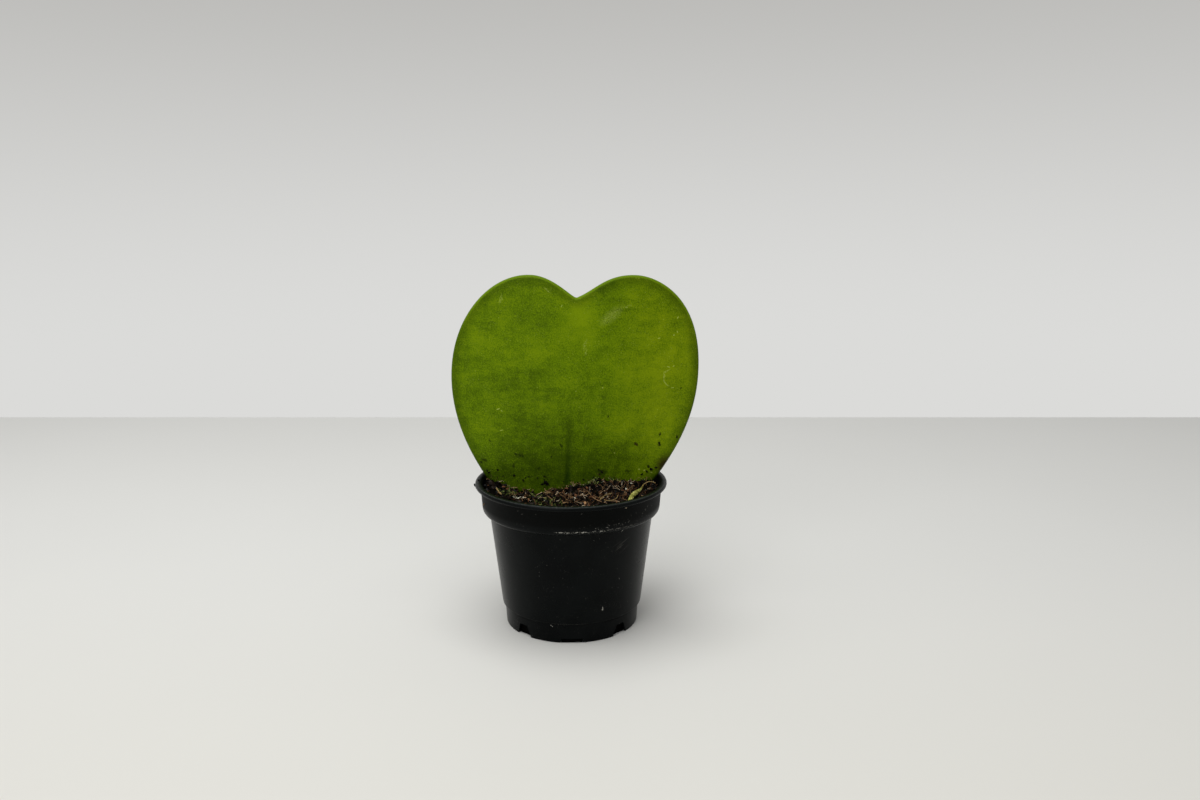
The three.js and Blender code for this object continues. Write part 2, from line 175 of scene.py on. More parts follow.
class Finish:
    """A procedural material, built up from nodes."""

    def __init__(self, name, **constants):
        self.material = bpy.data.materials.new(name)
        self.begin(self.material, "Principled BSDF")
        for key, value in constants.items():
            self.shader.inputs[key.replace("_", " ")].default_value = value

    def begin(self, owner, shader):
        owner.use_nodes = True
        self.tree = owner.node_tree
        self.shader = self.tree.nodes[shader]

    def node(self, kind, settings=None, inputs=(), output=0):
        """Adds a node, sets it up, feeds its sockets, and gives one of its outputs."""
        made = self.tree.nodes.new(kind)
        for key, value in (settings or {}).items():
            if key == "stops":
                self.set_stops(made.color_ramp, value)
            else:
                setattr(made, key, value)
        for key, value in inputs.items() if isinstance(inputs, dict) else enumerate(inputs):
            self.feed(made.inputs[key], value)
        return Wire(self, made.outputs[output])

    def set_stops(self, ramp, stops):
        while len(ramp.elements) < len(stops):
            ramp.elements.new(0.5)
        for element, (position, colour) in zip(ramp.elements, stops):
            element.position = position
            element.color = colour

    def feed(self, socket, value):
        if isinstance(value, Wire):
            self.tree.links.new(value.socket, socket)
        else:
            socket.default_value = value

    def set(self, **values):
        for key, value in values.items():
            self.feed(self.shader.inputs[key.replace("_", " ")], value)

    def place(self):
        """The point's own place, in metres, in the frame."""
        return self.node("ShaderNodeTexCoord", output="Object")

    def moved(self, place, location, rotation, scale):
        """The place as read in other axes, which lie at location, turned and scaled."""
        inputs = {"Vector": place, "Location": location, "Rotation": rotation, "Scale": scale}
        return self.node("ShaderNodeMapping", {"vector_type": "TEXTURE"}, inputs)

    def part(self, place, axis):
        return self.node("ShaderNodeSeparateXYZ", None, (place,), output=axis)

    def vector(self, x, y, z):
        return self.node("ShaderNodeCombineXYZ", None, (x, y, z))

    def carried(self, name):
        """A number that the piece's points carry."""
        return self.node("ShaderNodeAttribute", {"attribute_name": name}, output="Fac")

    def grain(self, place, scale, detail=2.0, roughness=0.5, twist=0.0):
        inputs = {"Vector": place, "Scale": scale, "Detail": detail, "Roughness": roughness}
        inputs["Distortion"] = twist
        return self.node("ShaderNodeTexNoise", None, inputs)

    def specks(self, place, scale, size):
        """Small round spots, one in each cell."""
        distance = self.node("ShaderNodeTexVoronoi", None, {"Vector": place, "Scale": scale})
        return distance.fall(size * 0.5, size)

    def mark(self, flat, x, z, wide, tall, turn=0, soft=0.5):
        """An oval on a flat place: 1 within, fading outwards. The turn is in degrees, anticlockwise."""
        scale = (wide / 2, 1, tall / 2)
        oval = self.moved(flat, (x, 0, z), (0, math.radians(-turn), 0), scale)
        distance = self.node("ShaderNodeVectorMath", {"operation": "LENGTH"}, (oval,), output="Value")
        return distance.fall(1 - soft, 1)

    def marks(self, flat, places, soft=0.5):
        """Several ovals together."""
        total = self.mark(flat, *places[0], soft=soft)
        for place in places[1:]:
            total = total | self.mark(flat, *place, soft=soft)
        return total

    def ramp(self, value, stops):
        return self.node("ShaderNodeValToRGB", {"stops": stops}, (value,))

    def blend(self, factor, below, above, how="MIX"):
        settings = {"data_type": "RGBA", "blend_type": how}
        return self.node("ShaderNodeMix", settings, {0: factor, 6: below, 7: above}, output=2)

    def dent(self, height, distance, strength=1.0):
        inputs = {"Height": height, "Distance": distance, "Strength": strength}
        self.set(Normal=self.node("ShaderNodeBump", None, inputs))


class Surroundings(Finish):
    """The light that comes from all round, built with the same nodes."""

    def __init__(self, name):
        self.world = bpy.data.worlds.new(name)
        self.begin(self.world, "Background")


def tint(red, green, blue):
    """A colour as a screen shows it, from 0 to 255, in the linear values that a shader takes."""
    def linear(value):
        value /= 255
        return value / 12.92 if value <= 0.04045 else ((value + 0.055) / 1.055) ** 2.4
    return (linear(red), linear(green), linear(blue), 1)


def only(piece):
    """Makes one piece the active one, with nothing else selected."""
    for other in bpy.context.view_layer.objects:
        other.select_set(False)
    piece.select_set(True)
    bpy.context.view_layer.objects.active = piece


def settle(piece, name):
    """Puts a piece's place, turn and size into its mesh, and names it."""
    only(piece)
    bpy.ops.object.transform_apply(location=True, rotation=True, scale=True)
    piece.name = name
    return piece


@contextmanager
def editing(piece, kind="VERT", whole=False):
    """Edit mode for a while, with what was picked selected, or the whole piece."""
    only(piece)
    bpy.ops.object.mode_set(mode="EDIT")
    bpy.ops.mesh.select_mode(type=kind)
    if whole:
        bpy.ops.mesh.select_all(action="SELECT")
    yield
    bpy.ops.object.mode_set(mode="OBJECT")


def pick_faces(piece, test):
    """Selects just the faces whose middle and normal pass a test."""
    mesh = piece.data
    mesh.vertices.foreach_set("select", [False] * len(mesh.vertices))
    mesh.edges.foreach_set("select", [False] * len(mesh.edges))
    mesh.polygons.foreach_set("select", [bool(test(face.center, face.normal)) for face in mesh.polygons])


def pick_points(piece, test):
    """Selects just the points that pass a test."""
    mesh = piece.data
    mesh.edges.foreach_set("select", [False] * len(mesh.edges))
    mesh.polygons.foreach_set("select", [False] * len(mesh.polygons))
    mesh.vertices.foreach_set("select", [bool(test(point.co)) for point in mesh.vertices])


def lattice(piece, test, x_marks, y_marks):
    """Slices the faces that pass a test along planes at some places in X and in Y."""
    cuts = [((mark, 0, 0), (1, 0, 0)) for mark in x_marks]
    cuts += [((0, mark, 0), (0, 1, 0)) for mark in y_marks]
    pick_faces(piece, test)
    with editing(piece, "FACE"):
        bpy.ops.mesh.hide(unselected=True)
        for point, normal in cuts:
            bpy.ops.mesh.select_all(action="SELECT")
            bpy.ops.mesh.bisect(plane_co=point, plane_no=normal)
        bpy.ops.mesh.reveal()


def tidy_skin(piece, merge=1e-6):
    """Merges doubles and turns every face outwards."""
    with editing(piece, whole=True):
        bpy.ops.mesh.remove_doubles(threshold=merge)
        bpy.ops.mesh.normals_make_consistent(inside=False)


def smooth(piece, angle=35):
    only(piece)
    bpy.ops.object.shade_smooth_by_angle(angle=math.radians(angle))


def apply_modifier(piece, kind, **settings):
    modifier = piece.modifiers.new(kind.lower(), kind)
    for key, value in settings.items():
        setattr(modifier, key, value)
    only(piece)
    bpy.ops.object.modifier_apply(modifier=modifier.name)


def join(pieces, name):
    """Makes one piece of several."""
    only(pieces[0])
    for piece in pieces:
        piece.select_set(True)
    bpy.ops.object.join()
    pieces[0].name = name
    return pieces[0]


def finished(piece, finish, slot, *nodes):
    """Gives a piece its finish and its place in the frame."""
    piece.data.materials.clear()
    piece.data.materials.append(finish.material)
    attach(piece, "root")
    if nodes:
        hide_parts(*nodes)
    return piece


def rounded(corners, steps=4):
    """A section's points, with each corner (radius, height, round) eased over that length."""
    points = []
    for i, (radius, height, ease) in enumerate(corners):
        corner = Vector((radius, height))
        if not ease:
            points.append(corner)
            continue
        ends = [corner + (Vector(corners[i + k][:2]) - corner).normalized() * ease for k in (-1, 1)]
        for step in range(steps + 1):
            t = step / steps
            points.append(ends[0] * (1 - t) ** 2 + corner * 2 * t * (1 - t) + ends[1] * t ** 2)
    return points


def turned_shell(name, section, sectors):
    """A closed round shell: a disc whose rim is extruded and scaled along a section, then closed."""
    first = section[0]
    bpy.ops.mesh.primitive_circle_add(
        vertices=sectors, radius=first.x * MM, fill_type="NGON", location=(AXIS_X, 0, first.y * MM))
    shell = settle(bpy.context.object, name)
    with editing(shell, "EDGE", whole=True):
        for here, there in zip(section, section[1:]):
            up = (0, 0, (there.y - here.y) * MM)
            bpy.ops.mesh.extrude_edges_move(TRANSFORM_OT_translate={"value": up})
            wider = there.x / here.x
            bpy.ops.transform.resize(value=(wider, wider, 1), center_override=(AXIS_X, 0, there.y * MM))
        bpy.ops.mesh.edge_face_add()
    tidy_skin(shell, 1e-7)
    return shell


def slot_block(slot, index, low, inner, outer, margin):
    """A block with sloping sides, set where one slot goes through the foot."""
    width, top_width = slot.width - 2 * margin, slot.top_width - 2 * margin
    height = slot.height - margin
    bpy.ops.mesh.primitive_cube_add(size=MM)
    block = bpy.context.object
    block.scale = (width, outer - inner, height - low)
    block.location = (0, -(inner + outer) / 2 * MM, (height + low) / 2 * MM)
    settle(block, "slot_block")
    pick_points(block, lambda point: point.z > (height + low) / 2 * MM)
    with editing(block):
        bpy.ops.transform.resize(value=(top_width / width, 1, 1), center_override=(0, 0, 0))
    block.rotation_euler.z = slot.angle + SLOT_TURN + index * FULL_TURN / SLOT_COUNT
    block.location.x = AXIS_X
    return settle(block, "slot_block")


def each_slot(make):
    return [make(slot, index) for slot in (LOW_SLOT, TALL_SLOT) for index in range(SLOT_COUNT)]


def pot_section():
    lip_under = POT_TOP - LIP_DEPTH
    inner_shoulder = COLLAR_BOTTOM + WALL
    inner_step = STEP_HEIGHT + WALL
    raised_radius, raised, slope = RAISED_FLOOR
    return rounded([
        (raised_radius, raised, 0),
        (raised_radius + slope, 0, 0.3),
        (FOOT_RADIUS[0], 0, 0.3),
        (FOOT_RADIUS[1], STEP_HEIGHT, 0.15),
        (STEP_RADIUS, STEP_HEIGHT, 0.45),
        (SHOULDER_RADIUS, COLLAR_BOTTOM, 0.35),
        (COLLAR_RADIUS[0], COLLAR_BOTTOM, 1.7),
        (COLLAR_RADIUS[1], lip_under, 0.5),
        (LIP_RADIUS, lip_under, 0.55),
        (LIP_RADIUS, POT_TOP, 0.75),
        (COLLAR_RADIUS[1] - WALL, POT_TOP, 1.0),
        (COLLAR_RADIUS[0] - WALL, inner_shoulder, 1.3),
        (SHOULDER_RADIUS - WALL, inner_shoulder, 0.3),
        (STEP_RADIUS - WALL, inner_step, 0.3),
        (FOOT_RADIUS[1] - FOOT_WALL, inner_step, 0.3),
        (FOOT_RADIUS[0] - FOOT_WALL, WALL, 0.3),
        (raised_radius + slope + WALL, WALL, 0.2),
        (raised_radius + WALL, raised + WALL, 0),
    ])


def make_pot():
    pot = turned_shell("nursery_pot", pot_section(), 144)
    past_foot = FOOT_RADIUS[1] + 2
    cutters = each_slot(lambda slot, index: slot_block(slot, index, -0.01, slot.inner, past_foot, 0))
    cutter = join(cutters, "slot_cutters")
    apply_modifier(pot, "BOOLEAN", operation="DIFFERENCE", solver="EXACT", object=cutter)
    bpy.data.objects.remove(cutter)
    smooth(pot, 40)
    return pot


def soil_height(x, y):
    """Height of the mix, in millimetres, at a place measured from the pot's axis."""
    past = max(0, math.hypot(x, y) - SOIL_DROOP[0]) / (SOIL_RADIUS - SOIL_DROOP[0])
    z = SOIL_LEVEL - SOIL_DROOP[1] * past * past
    for mound_x, mound_y, rise, reach in MOUNDS:
        far = math.hypot(x - mound_x, y - mound_y) / reach
        z += rise * math.exp(-far * far)
    coarse = math.sin(0.83 * x + 1.3) * math.cos(0.71 * y - 0.4)
    fine = math.sin(0.9 * x - 0.5 * y) * math.sin(0.6 * x + 1.1 * y + 0.8)
    return z + 0.3 * (coarse + fine)


def crumbly(x, y):
    """The mix's finer lumps, added to its height."""
    lumps = noise.noise(Vector((x, y, 3)) / 2.3) * 1.0
    grit = noise.noise(Vector((x, y, 9)) / 0.9) * 0.5
    return lumps + grit - 0.5


def soil_section():
    step = STEP_HEIGHT + WALL
    shoulder = COLLAR_BOTTOM + 2 * WALL
    edge = WALL + SOIL_GAP
    raised_radius, raised, slope = RAISED_FLOOR
    return [Vector(point) for point in [
        (raised_radius + edge, raised + edge),
        (raised_radius + slope + edge, edge),
        (FOOT_RADIUS[0] - FOOT_WALL - SOIL_GAP, edge),
        (FOOT_RADIUS[1] - FOOT_WALL - SOIL_GAP, step),
        (STEP_RADIUS - WALL - 0.15, step + 1.5),
        (SHOULDER_RADIUS - WALL - SOIL_GAP, shoulder - 0.3),
        (COLLAR_RADIUS[0] - WALL - SOIL_GAP, shoulder + 1.9),
        (SOIL_RADIUS, SOIL_LEVEL - 1),
    ]]


def make_soil():
    """The mix: a turned body whose top is sliced fine and heaped, with the fill of the drain slots."""
    soil = turned_shell("soil_bed", soil_section(), 112)
    marks = [k * SOIL_SLICE * MM for k in range(-23, 24)]

    def is_top(middle, normal):
        return normal.z > 0.9 and middle.z > 40 * MM

    lattice(soil, is_top, [AXIS_X + mark for mark in marks], marks)
    pick_faces(soil, is_top)
    with editing(soil, "FACE"):
        bpy.ops.mesh.subdivide(number_cuts=1)
    for point in soil.data.vertices:
        if point.co.z > (SOIL_LEVEL - 1.1) * MM:
            x, y = (point.co.x - AXIS_X) / MM, point.co.y / MM
            point.co.z = (soil_height(x, y) + crumbly(x, y)) * MM
    fills = each_slot(
        lambda slot, index: slot_block(slot, index, 0.2, slot.inner + SOIL_GAP, slot.fill, SOIL_GAP))
    for fill in fills:
        with editing(fill, whole=True):
            bpy.ops.mesh.subdivide(number_cuts=5, smoothness=0, fractal=0.06)
    soil = join([soil, *fills], "soil_bed")
    smooth(soil, 80)
    return soil


def behind_leaf(x, y):
    """How far behind the leaf's middle sheet a place in the mix lies, in millimetres."""
    across = x - (LEAF_PLACE.x - AXIS_X / MM)
    return y - LEAF_PLACE.y - across * across / (2 * LEAF_BOW)


def beside_sprig(x, y):
    """How far a place in the mix lies from the sprig, in millimetres."""
    place = Vector((x, y))
    spans = zip(SPRIG_LINE, SPRIG_LINE[1:])
    return min((place - nearest_on(place, Vector(start), Vector(end))).length for start, end in spans)


def nearest_on(place, start, end):
    nearest, along = geometry.intersect_point_line(place, start, end)
    return nearest.xy if 0 <= along <= 1 else (start if along < 0 else end)


def pile(name, bits):
    """Many small shapes as one piece. Each bit is a shape, its pose and its tone from 0 to 1."""
    heap = bmesh.new()
    tone = heap.verts.layers.float.new("tone")
    for shape, pose, shade in bits:
        copy = shape.copy()
        copy.transform(pose)
        before = len(heap.verts)
        heap.from_mesh(copy)
        bpy.data.meshes.remove(copy)
        heap.verts.ensure_lookup_table()
        for vertex in heap.verts[before:]:
            vertex[tone] = shade
    mesh = bpy.data.meshes.new(name)
    heap.to_mesh(mesh)
    heap.free()
    piece = bpy.data.objects.new(name, mesh)
    bpy.context.scene.collection.objects.link(piece)
    return piece


def on_mix(x, y, lift=0.0):
    """A move to a place on top of the mix, lifted by some millimetres."""
    height = soil_height(x, y) + crumbly(x, y) + lift
    return Matrix.Translation((x * MM + AXIS_X, y * MM, height * MM))


def any_pose(draw, size, slope):
    """A size with a random heading and slope."""
    heading = Matrix.Rotation(draw.uniform(0, FULL_TURN), 4, "Z")
    pitch = Matrix.Rotation(draw.uniform(-slope, slope), 4, "X")
    roll = Matrix.Rotation(draw.uniform(-slope, slope), 4, "Y")
    return heading @ pitch @ roll @ Matrix.Scale(size, 4)


def strewn(shapes, count, seed, sizes, slope, lift=0.1, crowd=1.6, clear=0.8, within=None):
    """Bits that lie all over the mix, mostly small ones, clear of the leaf and the sprig."""
    draw = random.Random(seed)
    left = count
    while left:
        radius = (SOIL_RADIUS - 0.5) * math.sqrt(draw.random())
        angle = draw.uniform(0, FULL_TURN)
        x, y = radius * math.cos(angle), radius * math.sin(angle)
        if abs(behind_leaf(x, y)) < LEAF_THICK[1] / 2 + clear or beside_sprig(x, y) < 1.2 + clear:
            continue
        if within and not within(x, y):
            continue
        left -= 1
        size = sizes[0] + (sizes[1] - sizes[0]) * draw.random() ** crowd
        yield draw.choice(shapes), on_mix(x, y, lift * size) @ any_pose(draw, size, slope), draw.random()


def taken(piece):
    """The mesh of a shape, with its object removed."""
    mesh = piece.data
    bpy.data.objects.remove(piece)
    return mesh


def chip_shapes(count, seed, flat):
    """Rough flakes, about a millimetre long."""
    shapes = []
    for i in range(count):
        bpy.ops.mesh.primitive_ico_sphere_add(subdivisions=1, radius=0.5 * MM)
        chip = bpy.context.object
        with editing(chip, whole=True):
            bpy.ops.transform.vertex_random(offset=0.26 * MM, seed=seed + i)
            bpy.ops.transform.resize(value=(1, 0.4 + 0.12 * (i % 4), flat * (0.8 + 0.2 * (i % 3))))
        shapes.append(taken(chip))
    return shapes


def new_path(count):
    """A curve with so many knots, and its spline."""
    bpy.ops.curve.primitive_nurbs_path_add()
    curve = bpy.context.object
    spline = curve.data.splines[0]
    spline.points.add(count - len(spline.points))
    spline.use_endpoint_u = True
    return curve, spline


def as_mesh(curve):
    only(curve)
    bpy.ops.object.convert(target="MESH")
    return bpy.context.object


def thread(points, radius, sides=1):
    """A thin closed tube through a few points, in millimetres."""
    tube, spline = new_path(len(points))
    for knot, (x, y, z) in zip(spline.points, points):
        knot.co = (x * MM, y * MM, z * MM, 1)
    spline.order_u = 4
    tube.data.resolution_u = 3
    tube.data.bevel_depth = radius * MM
    tube.data.bevel_resolution = sides
    tube.data.use_fill_caps = True
    return as_mesh(tube)


def thread_shapes(count, seed, length, curl, radius):
    """Loose fibres that wander as they go."""
    draw = random.Random(seed)
    shapes = []
    for _ in range(count):
        heading, points = 0.0, [Vector((0, 0, 0))]
        for _ in range(5):
            heading += draw.uniform(-curl, curl)
            stride = Vector((math.cos(heading), math.sin(heading), draw.uniform(-0.2, 0.25)))
            points.append(points[-1] + stride * length / 5)
        middle = points[2]
        shapes.append(taken(thread([point - middle for point in points], radius, 0)))
    return shapes


def on_leaf(across, up, behind):
    """A point of the leaf, in metres: across, up and behind its middle sheet, in millimetres."""
    bow = across * across / (2 * LEAF_BOW)
    turn = Matrix.Rotation(LEAF_TILT, 3, "Y") @ Matrix.Rotation(-LEAF_LEAN, 3, "X")
    return (turn @ Vector((across, bow + behind, up)) + LEAF_PLACE) * MM


def heart_face():
    """The heart as one flat face, in millimetres, X across and Y up, from a curve with seven knots."""
    # Each knot is its place, then the pull of its two handles, going round to the right from the notch
    knots = [
        ((-0.1, 62.6), (-1.2, -0.8), (5.8, 2.7)),
        ((18.8, 70.8), (-9.8, 0), (6.9, 0)),
        ((41.6, 38.4), (0, 26.5), (0, -15.3)),
        ((LEAF_BASE[0], LEAF_BASE[1]), (33.1, 30.0), (-0.6, 0)),
        ((-LEAF_BASE[0], LEAF_BASE[1]), (0.6, 0), (-13.1, 14.7)),
        ((-40.9, 35.4), (0, -29.0), (0, 18.8)),
        ((-15.3, 69.0), (-13.3, 0), (7.6, 0)),
    ]
    bpy.ops.curve.primitive_bezier_circle_add()
    curve = bpy.context.object
    curve.data.dimensions = "2D"
    curve.data.fill_mode = "BOTH"
    curve.data.resolution_u = 30
    spline = curve.data.splines[0]
    spline.bezier_points.add(len(knots) - len(spline.bezier_points))
    for knot, (place, back, ahead) in zip(spline.bezier_points, knots):
        knot.handle_left_type = knot.handle_right_type = "FREE"
        knot.co = (*place, 0)
        knot.handle_left = (place[0] + back[0], place[1] + back[1], 0)
        knot.handle_right = (place[0] + ahead[0], place[1] + ahead[1], 0)
    heart = as_mesh(curve)
    with editing(heart, whole=True):
        bpy.ops.mesh.remove_doubles(threshold=0.01)
        bpy.ops.mesh.dissolve_faces()
    return heart


def edge_finder(heart):
    """A way to find how far a place lies in from the heart's outline."""
    outline = [heart.data.vertices[i].co.xy for i in heart.data.polygons[0].vertices]
    tree = kdtree.KDTree(len(outline))
    for index, point in enumerate(outline):
        tree.insert((*point, 0), index)
    tree.balance()

    def distance(place):
        _, index, _ = tree.find((*place, 0))
        ends = [outline[index - 1], outline[(index + 1) % len(outline)]]
        return min((place - nearest_on(place, outline[index], end)).length for end in ends)
    return distance


def leaf_relief(across, up, front):
    """How far a place on the leaf's face is pushed out, in millimetres. The midrib is a groove in front."""
    rib_width, rib_height = (0.8, -0.3) if front else (1.3, 0.6)
    layer = 5 if front else 40
    low = max(0.0, min(1.0, (34 - up) / 30))
    rib = math.exp(-((across / rib_width) ** 2)) * low
    swell = noise.noise(Vector((across, up, layer)) / 14) * 0.26
    ripple = noise.noise(Vector((across, up, layer)) / 5) * 0.06
    return swell + ripple + rib_height * rib


def round_edge(leaf):
    """Raises the heart's face from its edge by small insets, so that the edge is round."""
    half, steps = LEAF_THICK[0] / 2, 6
    with editing(leaf, "FACE", whole=True):
        for step in range(steps):
            here, there = (math.pi / 2 * k / steps for k in (step, step + 1))
            inwards = LEAF_EDGE * (math.cos(here) - math.cos(there))
            outwards = half * (math.sin(there) - math.sin(here))
            bpy.ops.mesh.inset(thickness=inwards, depth=outwards, use_boundary=True)


def bend_leaf(leaf, edge_distance):
    """Thickens the blade towards its middle, gives it its relief, and bends it into place."""
    half = LEAF_THICK[0] / 2
    rim = leaf.data.attributes.new("rim", "FLOAT", "POINT")
    for point, store in zip(leaf.data.vertices, rim.data):
        across, up, out = point.co
        store.value = edge_distance(point.co.xy)
        fullness = max(0, 1 - (Vector((across, up)) - LEAF_MIDDLE).length / 42)
        face = min(1, abs(out) / half)
        depth = abs(out) * (1 + (LEAF_THICK[1] / LEAF_THICK[0] - 1) * fullness)
        depth += face * leaf_relief(across, up, out > 0)
        point.co = on_leaf(across, up, -math.copysign(depth, out))


def make_leaf():
    """The blade: a flat heart, rounded at its edge, sliced into a lattice, mirrored and bent to its form."""
    leaf = heart_face()
    edge_distance = edge_finder(leaf)
    round_edge(leaf)
    # The lattice is finer along the midrib
    rib_marks = [-2, -1.4, -0.9, -0.45, 0, 0.45, 0.9, 1.4, 2]
    across_marks = rib_marks + [side * (3.5 + 1.5 * k) for k in range(26) for side in (-1, 1)]
    up_marks = [LEAF_BASE[1] + 2 + 1.6 * k for k in range(60)]
    lattice(leaf, lambda middle, normal: True, across_marks, up_marks)
    apply_modifier(leaf, "MIRROR", use_axis=(False, False, True), merge_threshold=0.001)
    tidy_skin(leaf, 0.001)
    bend_leaf(leaf, edge_distance)
    leaf.name = "leaf_blade"
    tidy_skin(leaf)
    smooth(leaf, 60)
    return leaf


def make_stalk():
    """The stalk and the roots under the blade, buried in the mix."""
    bpy.ops.mesh.primitive_cylinder_add(vertices=20, radius=2.1 * MM, depth=9 * MM)
    stalk = bpy.context.object
    pick_points(stalk, lambda point: point.z < 0)
    with editing(stalk):
        bpy.ops.transform.resize(value=(0.75, 0.75, 1), center_override=(0, 0, 0))
    stalk.rotation_euler = (-LEAF_LEAN, LEAF_TILT, 0)
    stalk.location = on_leaf(0, -29.5, 0)
    settle(stalk, "stalk")
    apply_modifier(stalk, "BEVEL", width=0.6 * MM, segments=3)
    start = on_leaf(0, -32.8, 0) / MM
    roots = []
    for index in range(5):
        points = []
        for part in (0, 0.25, 0.5, 0.75, 1):
            angle = (index + 0.35) / 5 * FULL_TURN + 0.5 * math.sin(3 * part + index)
            reach = 11 * part * (1 - 0.12 * (index % 3))
            sunk = -5.5 * part ** 1.5
            points.append(start + Vector((reach * math.cos(angle), reach * math.sin(angle), sunk)))
        roots.append(thread(points, 0.42, 2))
    piece = join([stalk, *roots], "stalk_and_roots")
    smooth(piece, 50)
    return piece


def make_sprig():
    """A dry curled sliver, broad at one end, lying on the mix at the front right."""
    line = [SPRIG_LINE[0], *SPRIG_LINE, SPRIG_LINE[-1]]
    radii = [0.4, 0.62, 0.7, 0.78, 0.4, 0.2, 0.1]
    bpy.ops.curve.primitive_bezier_circle_add(radius=1 * MM)
    section = bpy.context.object
    section.scale = (1, 0.4, 1)
    settle(section, "sprig_section")
    sprig, spline = new_path(len(line))
    for index, (knot, (x, y), radius) in enumerate(zip(spline.points, line, radii)):
        knot.co = (x * MM + AXIS_X, y * MM, (soil_height(x, y) + 0.55) * MM, 1)
        knot.radius = radius
        knot.tilt = 0.3 * index
    spline.order_u = 3
    sprig.data.resolution_u = 8
    sprig.data.bevel_mode = "OBJECT"
    sprig.data.bevel_object = section
    sprig.data.use_fill_caps = True
    sprig = as_mesh(sprig)
    bpy.data.objects.remove(section)
    tidy_skin(sprig)
    smooth(sprig, 60)
    return settle(sprig, "dry_sprig")


# Marks on the leaf: across and up on its face, width and height in millimetres, then degrees of turn
CORKY_SCARS = [
    (-21, 41, 2.6, 1.2, 30), (13, 27, 3.4, 0.8, -20), (25, 52, 1.6, 1.4), (-8, 60, 1.0, 2.8, 25),
    (29, 30, 1.3, 1), (-30, 30, 1.2, 1.0), (4, 14, 1.8, 1.2), (-15, 20, 5, 0.5, 40), (18, 60, 4, 0.5, -30),
]
HAZE = (11.5, 57.5, 13, 5, 40)
SCUFFS = [
    (12.5, 58.4, 9, 1.0, 38), (9.4, 55.6, 6, 0.9, 48), (16, 60.6, 5, 0.8, 15), (3.2, 47.5, 5, 1.6, 78),
    (-25, 60.5, 5, 1.2, 80), (-10, 64.5, 4, 0.8, -35), (3.6, 45, 3, 1.4, 70),
]
CURL_EDGES = [(31.8, 37.7, 5, 6.4), (32.1, 37.7, 4.4, 5.9)]
FLECKS = [
    (9.8, 33.5, 0.6, 0.6), (32.3, 51.8, 0.7, 0.5, 30), (33.4, 52.9, 0.4, 0.9), (1.1, 31.9, 0.4, 0.4),
    (-24.4, 24.1, 1.6, 0.5, 25), (-23.2, 23.6, 0.9, 0.4, -40), (-23, 17, 1.6, 0.35, 20),
    (15, 11.6, 0.6, 0.5), (-5, 59.6, 1.2, 0.3, 60), (32.9, 41.5, 0.9, 0.35, 30),
    (31.2, 41.2, 1.4, 0.35, -15), (33, 34.2, 1.4, 0.3, 10), (33.2, 57.6, 0.4, 1.2, -20),
    (27.4, 50.6, 1.2, 0.35, 20), (23.6, 6.2, 0.8, 0.7), (25.4, 5.9, 1.0, 0.6, 30), (27.8, 5.2, 1.1, 0.5, -20),
]
BLACK_SPOTS = [
    (29.9, 18.4, 1.2, 1.7), (29.7, 15.2, 1.3, 2.8, 15), (-7.6, 2.0, 1.8, 1.3), (12.1, 24, 0.9, 1.6),
    (-2.6, 13.2, 1.5, 0.9, 40), (36, 34, 0.8, 1.6), (26.7, 7.2, 1.4, 1.6), (35.8, 17.5, 0.9, 1.8, -30),
    (-6, 9.4, 1.2, 0.9, 20), (-17.8, 9.3, 1.4, 0.8), (10.2, 5.6, 1.8, 1.2),
]
SMUDGES = [
    (-16.1, 9, 3.2, 2.2), (-18.3, 5.2, 2.6, 2.8), (11.1, 5.0, 4.6, 3.2), (-6, 9.4, 1.8, 1.4),
    (-26.7, 13, 1.2, 1.2), (-12.3, 14.6, 1.2, 0.9), (-28.5, 6.4, 3.4, 1.6), (-10, 5, 2, 1.6),
    (3, 8, 1.6, 1), (20, 5.4, 4, 1.4),
]
BROWN_FLECK = (22, 14.9, 1.6, 1.4)
BROWN_STAIN = (32.4, 7.8, 9, 10)

# Broad light and dark forms, by what they add to the leaf's tone
FORMS = {
    0.05: [
        (1, 55, 24, 30), (-31, 46, 24, 12, -20), (-12, 43, 20, 12, 15), (27, 25, 26, 28, -15),
        (27, 46, 22, 28), (17, 21, 22, 18, 10), (-30, 17, 12, 20, 25),
    ],
    0.045: [(2, 60, 24, 16)],
    -0.036: [
        (-18.5, 56, 17, 32, -32), (-20, 64, 26, 10, 20), (-14, 32, 50, 16, -8), (8, 35, 16, 20, 10),
        (33, 62, 10, 14), (7, 43, 5, 16, -35),
    ],
    -0.07: [(-14, 20, 22, 17, 15)],
}


